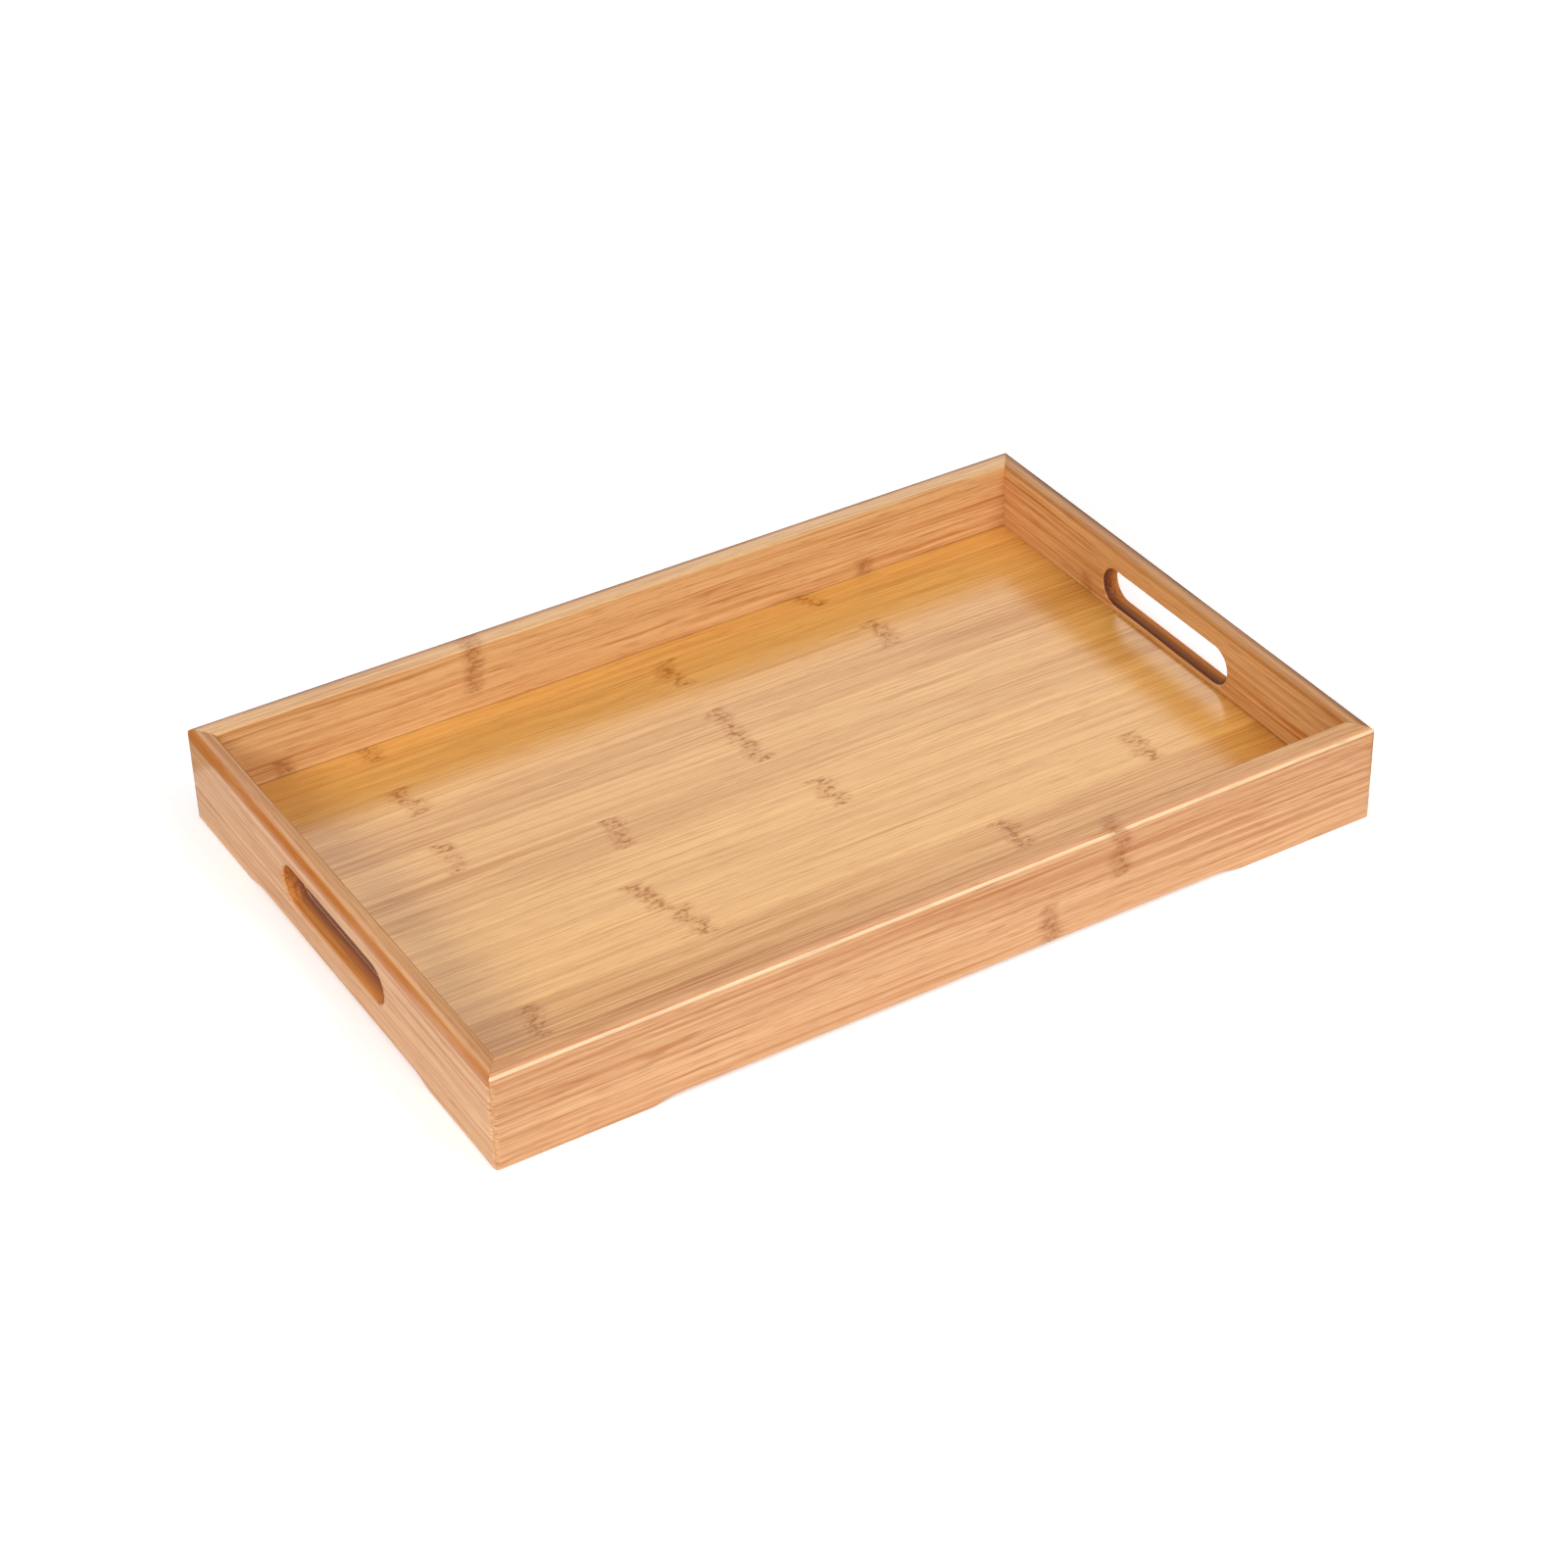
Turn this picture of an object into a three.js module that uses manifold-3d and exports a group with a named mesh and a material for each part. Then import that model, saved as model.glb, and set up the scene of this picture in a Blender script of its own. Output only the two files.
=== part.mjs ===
// Bamboo serving tray: a mitred frame of edge-glued bamboo strips round a panel of
// edge-glued strips, which sits in a groove run round the inside of the frame.
// Millimetres, +Z up. The origin is at the middle of the footprint, on the table.
// +X runs along the tray's length and +Y from the front rail to the back rail.

import * as THREE from 'three';
import { mergeVertices } from 'three/addons/utils/BufferGeometryUtils.js';
import Module from 'manifold-3d';

// Overall size
const LENGTH = 426;
const WIDTH = 280;
const HEIGHT = 46;

// Rails: each is glued up from a lower and an upper strip
const LONG_RAIL_THICKNESS = 12;
const END_RAIL_THICKNESS = 9;
const LOWER_STRIP_HEIGHT = 22;
const OUTER_TOP_RADIUS = 3.5;
const INNER_TOP_RADIUS = 1.5;
const BOTTOM_RADIUS = 1;
const CORNER_RADIUS = 3;
const MITRE_GLUE_LINE = 0.3;

// Base panel and the groove that holds it
const BASE_THICKNESS = 6;
const BASE_UNDERSIDE = 6.8;
const STRIP_WIDTH = 23.2;
const NARROWEST_EDGE_STRIP = 4;
const BASE_LEAD_IN = 0.8;
const GROOVE_DEPTH = 4;
const GROOVE_TOP_PLAY = 0.3;
const GROOVE_END_PLAY = 0.5;

// Hand slots in the end rails
const SLOT_LENGTH = 94;
const SLOT_SILL = 2.6;
const GRIP_BAR_HEIGHT = 11.8;
const SLOT_RIM_RADIUS = 1.5;
const SLOT_OVERCUT = 0.02;

// Relief under each rail, which leaves a foot at each corner
const LONG_FOOT_LENGTH = 75;
const END_FOOT_LENGTH = 62;
const RELIEF_DEPTH = 2.3;
const RELIEF_SLOPE_LENGTH = 10;

// Smoothness of the round stretches
const ARRIS_SEGMENTS = 5;
const SLOT_END_SEGMENTS = 12;
const SLOT_RIM_SEGMENTS = 6;

// Finish: varnished bamboo, with a tone of its own for each strip
const PALE_BAMBOO = new THREE.Color('#e2b57e');
const DARK_BAMBOO = new THREE.Color('#c98f52');
const BAMBOO_ROUGHNESS = 0.35;
const BASE_TONES = [0.45, 0.6, 0.2, 0.35, 0.1, 0.5, 0.25, 0.05, 0.3, 0.15, 0.55, 0.4];
const RAIL_TONES = { front: [0.3, 0.5], right: [0.75, 0.9], back: [0.55, 0.65], left: [0.5, 0.4] };

// Heights and lengths that follow from the sizes above
const BASE_TOP = BASE_UNDERSIDE + BASE_THICKNESS;
const GROOVE_TOP = BASE_TOP + GROOVE_TOP_PLAY;
const SLOT_BOTTOM = BASE_TOP + SLOT_SILL;
const SLOT_TOP = HEIGHT - GRIP_BAR_HEIGHT;
const PANEL_TONGUE = GROOVE_DEPTH - GROOVE_END_PLAY;
const PANEL_LENGTH = LENGTH - 2 * (END_RAIL_THICKNESS - PANEL_TONGUE);
const PANEL_WIDTH = WIDTH - 2 * (LONG_RAIL_THICKNESS - PANEL_TONGUE);
const QUARTER_TURN = Math.PI / 2;

// The two kinds of rail: `meets` is the thickness of the rail that it is mitred to
const LONG_RAIL = {
  length: LENGTH,
  thickness: LONG_RAIL_THICKNESS,
  meets: END_RAIL_THICKNESS,
  footLength: LONG_FOOT_LENGTH,
  hasSlot: false,
};
const END_RAIL = {
  length: WIDTH,
  thickness: END_RAIL_THICKNESS,
  meets: LONG_RAIL_THICKNESS,
  footLength: END_FOOT_LENGTH,
  hasSlot: true,
};

// Cutting bodies run past the wood by this much, and corners this close are one corner
const CUT_MARGIN = 5;
const WELD_DISTANCE = 1e-5;

const wasm = await Module();
wasm.setup();

// Turns a closed geometry into a solid that can be joined and cut
function solidOf(geometry) {
  const bare = geometry.index ? geometry.toNonIndexed() : geometry.clone();
  bare.deleteAttribute('normal');
  bare.deleteAttribute('uv');
  const merged = mergeVertices(bare, WELD_DISTANCE);
  return new wasm.Manifold(new wasm.Mesh({
    numProp: 3,
    vertProperties: new Float32Array(merged.attributes.position.array),
    triVerts: new Uint32Array(merged.index.array),
  }));
}

// Turns a finished solid back into a geometry with flat-shaded faces
function geometryOf(solid) {
  const mesh = solid.getMesh();
  const geometry = new THREE.BufferGeometry();
  geometry.setAttribute('position', new THREE.BufferAttribute(new Float32Array(mesh.vertProperties), 3));
  geometry.setIndex(new THREE.BufferAttribute(new Uint32Array(mesh.triVerts), 1));
  const flat = geometry.toNonIndexed();
  flat.computeVertexNormals();
  return flat;
}

function bambooMesh(name, solid, tone) {
  const material = new THREE.MeshStandardMaterial({
    color: PALE_BAMBOO.clone().lerp(DARK_BAMBOO, tone),
    roughness: BAMBOO_ROUGHNESS,
    metalness: 0,
  });
  const mesh = new THREE.Mesh(geometryOf(solid), material);
  mesh.name = name;
  return mesh;
}

// An outline in the XY plane, raised from one height to another
function uprightPrism(outline, bottom, top) {
  const geometry = new THREE.ExtrudeGeometry(outline, {
    depth: top - bottom,
    bevelEnabled: false,
    curveSegments: ARRIS_SEGMENTS,
  });
  geometry.translate(0, 0, bottom);
  return solidOf(geometry);
}

// A section drawn as (inward, up), run along X for the given length about its middle
function runAlongX(section, length) {
  const geometry = new THREE.ExtrudeGeometry(section, {
    depth: length,
    bevelEnabled: false,
    curveSegments: ARRIS_SEGMENTS,
  });
  geometry.rotateX(QUARTER_TURN);
  geometry.rotateZ(QUARTER_TURN);
  geometry.translate(-length / 2, 0, 0);
  return solidOf(geometry);
}

// An elevation drawn as (along, up), run along Y from one place to another
function runAlongY(elevation, from, to) {
  const geometry = new THREE.ExtrudeGeometry(elevation, { depth: to - from, bevelEnabled: false });
  geometry.rotateX(QUARTER_TURN);
  geometry.translate(0, to, 0);
  return solidOf(geometry);
}

// Rail section: rounded outer and inner top arrises, eased bottom edge, groove for the base
function railSection({ thickness }) {
  const grooveFloor = thickness - GROOVE_DEPTH;
  const section = new THREE.Shape();
  section.moveTo(BOTTOM_RADIUS, 0);
  section.lineTo(thickness, 0);
  section.lineTo(thickness, BASE_UNDERSIDE);
  section.lineTo(grooveFloor, BASE_UNDERSIDE);
  section.lineTo(grooveFloor, GROOVE_TOP);
  section.lineTo(thickness, GROOVE_TOP);
  section.lineTo(thickness, HEIGHT - INNER_TOP_RADIUS);
  section.absarc(
    thickness - INNER_TOP_RADIUS, HEIGHT - INNER_TOP_RADIUS,
    INNER_TOP_RADIUS, 0, QUARTER_TURN, false,
  );
  section.lineTo(OUTER_TOP_RADIUS, HEIGHT);
  section.absarc(
    OUTER_TOP_RADIUS, HEIGHT - OUTER_TOP_RADIUS,
    OUTER_TOP_RADIUS, QUARTER_TURN, 2 * QUARTER_TURN, false,
  );
  section.lineTo(0, BOTTOM_RADIUS);
  section.absarc(
    BOTTOM_RADIUS, BOTTOM_RADIUS,
    BOTTOM_RADIUS, 2 * QUARTER_TURN, 3 * QUARTER_TURN, false,
  );
  return section;
}

// Rail plan: a trapezium whose mitred ends run from the frame's outer corners to its
// inner ones, each set back by half the glue line
function railPlan({ length, thickness, meets }) {
  const setBack = MITRE_GLUE_LINE / 2 / Math.sin(Math.atan2(thickness, meets));
  const outerEnd = length / 2 - setBack;
  const innerEnd = outerEnd - meets;
  const plan = new THREE.Shape();
  plan.moveTo(-outerEnd, 0);
  plan.lineTo(outerEnd, 0);
  plan.lineTo(innerEnd, thickness);
  plan.lineTo(-innerEnd, thickness);
  plan.closePath();
  return plan;
}

// The frame's outline along a rail's outer face, with its two rounded upright corners
function cornerOutline({ length, thickness }) {
  const end = length / 2;
  const centre = end - CORNER_RADIUS;
  const outline = new THREE.Shape();
  outline.absarc(-centre, CORNER_RADIUS, CORNER_RADIUS, 2 * QUARTER_TURN, 3 * QUARTER_TURN, false);
  outline.absarc(centre, CORNER_RADIUS, CORNER_RADIUS, 3 * QUARTER_TURN, 4 * QUARTER_TURN, false);
  outline.lineTo(end, thickness + CUT_MARGIN);
  outline.lineTo(-end, thickness + CUT_MARGIN);
  outline.closePath();
  return outline;
}

// Shallow relief under a rail, straight with sloped ends
function reliefCut({ length, thickness, footLength }) {
  const half = length / 2 - footLength;
  const slope = RELIEF_SLOPE_LENGTH / 2;
  const elevation = new THREE.Shape();
  elevation.moveTo(-half - slope, 0);
  elevation.lineTo(-half - slope, -CUT_MARGIN);
  elevation.lineTo(half + slope, -CUT_MARGIN);
  elevation.lineTo(half + slope, 0);
  elevation.lineTo(half - slope, RELIEF_DEPTH);
  elevation.lineTo(-half + slope, RELIEF_DEPTH);
  elevation.closePath();
  return runAlongY(elevation, -CUT_MARGIN, thickness + CUT_MARGIN);
}

// Hand slot with round ends. Its bevel runs outwards, so that it flares to a
// quarter-round rim where it meets the two faces of the rail.
function handSlotCut({ thickness }) {
  const radius = (SLOT_TOP - SLOT_BOTTOM) / 2;
  const middle = (SLOT_TOP + SLOT_BOTTOM) / 2;
  const straight = SLOT_LENGTH / 2 - radius;
  const outline = new THREE.Shape();
  outline.absarc(straight, middle, radius, -QUARTER_TURN, QUARTER_TURN, false);
  outline.absarc(-straight, middle, radius, QUARTER_TURN, 3 * QUARTER_TURN, false);
  const geometry = new THREE.ExtrudeGeometry(outline, {
    depth: thickness + 2 * (SLOT_OVERCUT - SLOT_RIM_RADIUS),
    curveSegments: SLOT_END_SEGMENTS,
    bevelEnabled: true,
    bevelThickness: SLOT_RIM_RADIUS,
    bevelSize: -SLOT_RIM_RADIUS,
    bevelOffset: SLOT_RIM_RADIUS,
    bevelSegments: SLOT_RIM_SEGMENTS,
  });
  geometry.rotateX(QUARTER_TURN);
  geometry.translate(0, thickness + SLOT_OVERCUT - SLOT_RIM_RADIUS, 0);
  return solidOf(geometry);
}

// One rail in its own frame: X along it, Y inward from the outer face
function railSolid(kind) {
  const rail = runAlongX(railSection(kind), kind.length)
    .intersect(uprightPrism(railPlan(kind), -CUT_MARGIN, HEIGHT + CUT_MARGIN))
    .intersect(uprightPrism(cornerOutline(kind), -CUT_MARGIN, HEIGHT + CUT_MARGIN))
    .subtract(reliefCut(kind));
  return kind.hasSlot ? rail.subtract(handSlotCut(kind)) : rail;
}

// The part of a rail between two heights
function slice(rail, { length, thickness }, bottom, top) {
  const geometry = new THREE.BoxGeometry(length + CUT_MARGIN, thickness + CUT_MARGIN, top - bottom);
  geometry.translate(0, thickness / 2, (bottom + top) / 2);
  return rail.intersect(solidOf(geometry));
}

function railGroup(side, kind) {
  const rail = railSolid(kind);
  const [lowerTone, upperTone] = RAIL_TONES[side];
  const lower = slice(rail, kind, -CUT_MARGIN, LOWER_STRIP_HEIGHT);
  const upper = slice(rail, kind, LOWER_STRIP_HEIGHT, HEIGHT + CUT_MARGIN);
  const group = new THREE.Group();
  group.add(bambooMesh(`${side}_rail_lower`, lower, lowerTone));
  group.add(bambooMesh(`${side}_rail_upper`, upper, upperTone));
  return group;
}

// A panel edge, drawn as (across, up), with a small lead-in chamfer for the groove
function panelSection(half) {
  const section = new THREE.Shape();
  section.moveTo(-half + BASE_LEAD_IN, BASE_UNDERSIDE);
  section.lineTo(half - BASE_LEAD_IN, BASE_UNDERSIDE);
  section.lineTo(half, BASE_UNDERSIDE + BASE_LEAD_IN);
  section.lineTo(half, BASE_TOP - BASE_LEAD_IN);
  section.lineTo(half - BASE_LEAD_IN, BASE_TOP);
  section.lineTo(-half + BASE_LEAD_IN, BASE_TOP);
  section.lineTo(-half, BASE_TOP - BASE_LEAD_IN);
  section.lineTo(-half, BASE_UNDERSIDE + BASE_LEAD_IN);
  section.closePath();
  return section;
}

// Base strip from one glue line to the next. The outermost strips take the panel's own edge.
function baseStripSolid(front, back) {
  const strip = runAlongY(panelSection(PANEL_LENGTH / 2), front, back);
  const atEdge = Math.max(-front, back) >= PANEL_WIDTH / 2;
  return atEdge ? strip.intersect(runAlongX(panelSection(PANEL_WIDTH / 2), LENGTH)) : strip;
}

// Glue lines are counted out from the middle, and the two edge strips take what is left
function basePanel() {
  const perSide = Math.ceil((PANEL_WIDTH / 2 - NARROWEST_EDGE_STRIP) / STRIP_WIDTH);
  const group = new THREE.Group();
  for (let index = 0; index < 2 * perSide; index += 1) {
    const front = index === 0 ? -PANEL_WIDTH / 2 : (index - perSide) * STRIP_WIDTH;
    const back = index === 2 * perSide - 1 ? PANEL_WIDTH / 2 : (index + 1 - perSide) * STRIP_WIDTH;
    const name = `base_strip_${String(index + 1).padStart(2, '0')}`;
    group.add(bambooMesh(name, baseStripSolid(front, back), BASE_TONES[index % BASE_TONES.length]));
  }
  return group;
}

const tray = new THREE.Group();

const frontRail = railGroup('front', LONG_RAIL);
frontRail.position.y = -WIDTH / 2;

const rightRail = railGroup('right', END_RAIL);
rightRail.position.x = LENGTH / 2;
rightRail.rotation.z = QUARTER_TURN;

const backRail = railGroup('back', LONG_RAIL);
backRail.position.y = WIDTH / 2;
backRail.rotation.z = 2 * QUARTER_TURN;

const leftRail = railGroup('left', END_RAIL);
leftRail.position.x = -LENGTH / 2;
leftRail.rotation.z = -QUARTER_TURN;

tray.add(frontRail, rightRail, backRail, leftRail, basePanel());

export default tray;
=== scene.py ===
# %% [markdown]
# # A bamboo serving tray
# The tray is a low mitred frame of four rails around a flat base. Every rail and the base are glued up
# from planed bamboo strips, sanded flush and varnished. This lesson makes each strip as one piece, lays
# the bamboo's fibres along it, and photographs the tray on a white table.
#
# The frame holds the plain solids of the same tray. Each piece made here takes the place of one of them,
# so it is measured from them and stays inside their box.

import math

import bmesh
import bpy
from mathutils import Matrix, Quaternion, Vector


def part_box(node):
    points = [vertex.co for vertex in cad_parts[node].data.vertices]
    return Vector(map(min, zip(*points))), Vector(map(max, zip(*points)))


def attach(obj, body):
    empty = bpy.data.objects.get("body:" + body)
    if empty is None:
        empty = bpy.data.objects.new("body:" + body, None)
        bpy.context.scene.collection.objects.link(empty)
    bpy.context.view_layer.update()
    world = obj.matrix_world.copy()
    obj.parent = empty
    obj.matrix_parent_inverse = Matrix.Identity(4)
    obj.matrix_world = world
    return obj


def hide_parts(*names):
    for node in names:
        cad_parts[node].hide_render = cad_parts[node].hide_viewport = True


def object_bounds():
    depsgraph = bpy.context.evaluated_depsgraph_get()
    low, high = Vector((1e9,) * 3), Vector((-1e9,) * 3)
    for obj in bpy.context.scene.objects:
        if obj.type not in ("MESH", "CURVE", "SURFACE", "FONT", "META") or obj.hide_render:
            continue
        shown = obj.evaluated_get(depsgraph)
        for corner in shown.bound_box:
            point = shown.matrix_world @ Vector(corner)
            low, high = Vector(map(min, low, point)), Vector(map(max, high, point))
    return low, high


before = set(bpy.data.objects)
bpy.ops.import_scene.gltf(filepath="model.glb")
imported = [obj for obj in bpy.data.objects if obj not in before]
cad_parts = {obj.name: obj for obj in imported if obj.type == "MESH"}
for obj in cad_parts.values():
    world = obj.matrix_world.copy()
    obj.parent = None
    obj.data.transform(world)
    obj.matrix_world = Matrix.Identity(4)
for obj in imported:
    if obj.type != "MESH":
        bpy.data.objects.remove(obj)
cad_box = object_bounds()
scene = bpy.context.scene
print("the frame measures", [round(v, 4) for v in cad_box[1] - cad_box[0]], "m")

# %% [markdown]
# ## Sizes
# The frame already knows how big each strip is, so the lengths, the thickness of the rails and the height
# of the glue line are read from it. They could be typed in again, but then they could drift apart. Only
# the small shapes that a box can't tell, such as a rounded edge, are written down later, where they are
# first needed.

# %% Driving sizes
MM = 0.001
tray_low, tray_high = cad_box
TRAY_LENGTH = tray_high.x - tray_low.x
TRAY_WIDTH = tray_high.y - tray_low.y
TRAY_HEIGHT = tray_high.z - tray_low.z
front_low, front_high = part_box("front_rail_lower")
left_low, left_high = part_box("left_rail_lower")
strip_low, strip_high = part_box("base_strip_06")
LONG_RAIL_THICKNESS = front_high.y - front_low.y
END_RAIL_THICKNESS = left_high.x - left_low.x
GLUE_LINE = front_high.z
BASE_UNDERSIDE = strip_low.z
BASE_TOP = strip_high.z
print("rails", [round(t / MM, 2) for t in (LONG_RAIL_THICKNESS, END_RAIL_THICKNESS)], "mm thick")

# %% [markdown]
# ## Helpers for node trees
# Shapes and finishes are both drawn as node trees here. Nodes can be placed by hand in Blender's editor,
# but in a script each one takes several lines to add, set up and wire. The first helper does all three,
# so that a line of this lesson reads like one node. Arithmetic and ramps are so common that they get
# short names of their own.

# %% Node helpers
def add_node(tree, kind, inputs=None, **settings):
    """Add a node. An input is a number, another node (its first live output) or one of a node's outputs."""
    node = tree.nodes.new(kind)
    for setting, value in settings.items():
        setattr(node, setting, value)
    for key, value in (inputs or {}).items():
        sockets = [s for s in node.inputs if s.enabled and s.name == key]
        socket = node.inputs[key] if isinstance(key, int) else sockets[0]
        if isinstance(value, bpy.types.Node):
            value = next(s for s in value.outputs if s.enabled)
        if isinstance(value, bpy.types.NodeSocket):
            tree.links.new(value, socket)
        else:
            socket.default_value = value
    return node


def work_out(tree, operation, *values):
    """One step of arithmetic with numbers or with what other nodes give."""
    return add_node(tree, "ShaderNodeMath", dict(enumerate(values)), operation=operation)


def ramp(tree, value, start, end, low=0.0, high=1.0, smooth=False):
    """Go from low to high while a value goes from start to end, and stay level before and after."""
    return add_node(tree, "ShaderNodeMapRange", {
        "Value": value, "From Min": start, "From Max": end, "To Min": low, "To Max": high,
    }, interpolation_type="SMOOTHSTEP" if smooth else "LINEAR")


print("helpers:", [helper.__name__ for helper in (add_node, work_out, ramp)])

# %% [markdown]
# ## The bamboo
# A strip of bamboo is a bundle of straight fibres. It shows as fine lines along the strip, some broader
# streaks, short dark pores, and now and then a knuckle: the joint of the cane, where the fibres are
# knotted and brown marks wander across the strip. The finish could be a picture wrapped round the wood,
# but a picture repeats and gets blurred close up. Here every mark is a noise pattern, stretched along
# the strip to its real size, so no two strips are alike.
#
# Each strip carries its own measures, which the finish reads: "grain" is the place along, across and up
# the strip in metres, "tone" how dark it was steamed, "seed" which part of the cane it was cut from, and
# "knuckle 1" and "knuckle 2" where its joints lie. A rail also has "top grain and shade" for its yellower,
# shaded top, and "edge reflection colour" and "edge reflection place" for the reflection painted along its
# outer edge, a highlight on the front and dark on the other sides.

# %% Colours and measures
def linear(hex_colour):
    """An sRGB hex colour as linear red, green, blue and alpha."""
    parts = [int(hex_colour[i : i + 2], 16) / 255 for i in (1, 3, 5)]
    return [v / 12.92 if v <= 0.04045 else ((v + 0.055) / 1.055) ** 2.4 for v in parts] + [1.0]


def lay_over(tree, share, under, over, blend="MIX"):
    """Lay a share of one colour over another."""
    return add_node(tree, "ShaderNodeMix", {"Factor": share, "A": under, "B": over},
                    data_type="RGBA", blend_type=blend)


def measure(tree, name, output="Fac"):
    """A measure that the strip carries."""
    return add_node(tree, "ShaderNodeAttribute", attribute_name=name).outputs[output]


print("honey bamboo in linear light:", [round(v, 3) for v in linear("#ebb15c")[:3]])

# %% [markdown]
# ### Marks of the cane
# The seed moves each strip to its own stretch of one endless cane. The fibres bend a little, as they grew,
# so the place on the cane sways sideways before any mark is drawn. Then each mark is one noise with its
# own length and width.

# %% Cane marks
SEED_STEP = (613.0, 47.0, 29.0)
FIBRE_BEND = 2.4
BEND_LENGTH = 75.0
BEND_WIDTH = 24.0
EVEN = 0.5
CANE_MARKS = {
    # mark: (length, width, how finely it breaks up), the lengths in millimetres
    "fibre": (150.0, 0.85, 3.0),
    "streak": (240.0, 7.0, 2.0),
    "line": (150.0, 1.7, 1.0),
    "pore": (14.0, 0.7, 1.0),
    "wander": (60.0, 7.0, 1.0),
    "blot": (3.2, 1.7, 2.0),
}


def noise(tree, place, length, width, detail, roughness=0.6):
    """A noise whose patches are so long and so wide, in millimetres. On average it is even, at a half."""
    stretch = (1 / length, 1 / width, 1 / width)
    place = add_node(tree, "ShaderNodeVectorMath", {0: place, 1: stretch}, operation="MULTIPLY")
    return add_node(tree, "ShaderNodeTexNoise",
                    {"Vector": place, "Scale": 1.0, "Detail": detail, "Roughness": roughness})


def cane_marks(tree):
    """Where a point lies on its strip in millimetres, and how strong each mark of the cane is there."""
    grain = measure(tree, "grain", "Vector")
    place = add_node(tree, "ShaderNodeVectorMath", {0: grain, "Scale": 1 / MM}, operation="SCALE")
    along, across, up = add_node(tree, "ShaderNodeSeparateXYZ", {0: place}).outputs
    seed = measure(tree, "seed")
    steps = add_node(tree, "ShaderNodeCombineXYZ", {"X": seed, "Y": seed, "Z": seed})
    cane = add_node(tree, "ShaderNodeVectorMath", {0: steps, 1: SEED_STEP, 2: place},
                    operation="MULTIPLY_ADD")
    bend = noise(tree, cane, BEND_LENGTH, BEND_WIDTH, detail=1.0, roughness=0.5)
    sway = work_out(tree, "MULTIPLY", work_out(tree, "SUBTRACT", bend, EVEN), FIBRE_BEND)
    sideways = add_node(tree, "ShaderNodeCombineXYZ", {"Y": sway, "Z": sway})
    cane = add_node(tree, "ShaderNodeVectorMath", {0: cane, 1: sideways}, operation="ADD")
    marks = {label: noise(tree, cane, *sizes) for label, sizes in CANE_MARKS.items()}
    return {"along": along, "across": across, "up": up, **marks}


print("marks of the cane:", ", ".join(CANE_MARKS))

# %% [markdown]
# ### Colour of the wood
# Steaming browns the sugar in the cane, so a strip has a tone somewhere between a pale and a dark colour.
# Fibres and streaks make the tone uneven, and thin dark lines run through it. The skin side of a rail,
# which faces outward, is pinker than its pith side. A colour ramp with many stops could do it, but two
# pairs of colours are easier to match to real wood.

# %% Wood colour
LINES_SHOW = (0.5, 0.66)
SKIN_TO_PITH = (2.0, 8.0)


def wood_shade(tree, marks, strength):
    """How far the wood has gone from its pale to its dark colour."""
    shade = measure(tree, "tone")
    for label in ("fibre", "streak"):
        uneven = work_out(tree, "SUBTRACT", marks[label], EVEN)
        shade = work_out(tree, "MULTIPLY_ADD", uneven, strength[label], shade)
    lines = ramp(tree, marks["line"], *LINES_SHOW, high=strength["line"])
    return work_out(tree, "ADD", shade, lines)


def wood_colour(tree, marks, shade, colours):
    """The bare wood, from its skin side to its pith side."""
    sides = []
    for side in ("skin", "pith"):
        pale, dark = colours[side]
        sides.append(lay_over(tree, shade, linear(pale), linear(dark)))
    depth = ramp(tree, marks["across"], *SKIN_TO_PITH)
    return lay_over(tree, depth, *sides)


print("skin turns to pith between", SKIN_TO_PITH, "mm from a rail's outer face")

# %% [markdown]
# ### Painted light and shade
# The sanded top of a rail shows the strip's yellower edge, with painted shade over it. Along its rounded
# outer edge the wood gets a painted highlight on the front and a painted dark reflection on the other sides,
# in patches. A lath of the base gets painted shade towards its left end, and dark brown painted shade in its
# last millimetres beside the left rail. Such places could be painted by hand. Here they follow from the
# place in the strip, so that they stay exactly on their edge.

# %% Painted light and shade
TOP_UP = (43.6, 45.4)
TOP_INWARD = (2.1, 4.6)
EDGE_CORE = 0.68
PATCHES_SHOW = (0.3, 0.6)
FAINTEST_PATCH = 0.6
# Painted shade on the laths: darker towards the left end, then dark brown right beside the left rail.
LEFT_END_SHADE = (-150.0, -190.0)
LEFT_END_SHADE_COLOUR = "#9a6a3c"
SHADOWED_END = (-193.5, -197.0)


def top_grain_and_shade(tree, marks):
    """How much of the top's yellower grain and painted shade a point has."""
    crown = ramp(tree, marks["up"], *TOP_UP, high=measure(tree, "top stain"), smooth=True)
    inward = ramp(tree, marks["across"], *TOP_INWARD, smooth=True)
    return work_out(tree, "MULTIPLY", crown, inward)


def painted_edge_reflection(tree, marks, strength):
    """How much of the colour painted along the outer edge a point has: a painted highlight on the front
    rail, a painted dark reflection on the others. Its place is across, up and reach.
    """
    place = measure(tree, "edge place", "Vector")
    edge_across, edge_up, reach = add_node(tree, "ShaderNodeSeparateXYZ", {0: place}).outputs
    middle = add_node(tree, "ShaderNodeCombineXYZ", {"X": edge_across, "Y": edge_up})
    here = add_node(tree, "ShaderNodeCombineXYZ", {"X": marks["across"], "Y": marks["up"]})
    away = add_node(tree, "ShaderNodeVectorMath", {0: here, 1: middle}, operation="DISTANCE")
    core = work_out(tree, "MULTIPLY", reach, EDGE_CORE)
    patches = ramp(tree, marks["wander"], *PATCHES_SHOW, FAINTEST_PATCH * strength, strength)
    return ramp(tree, away, reach, core, high=patches, smooth=True)


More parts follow.
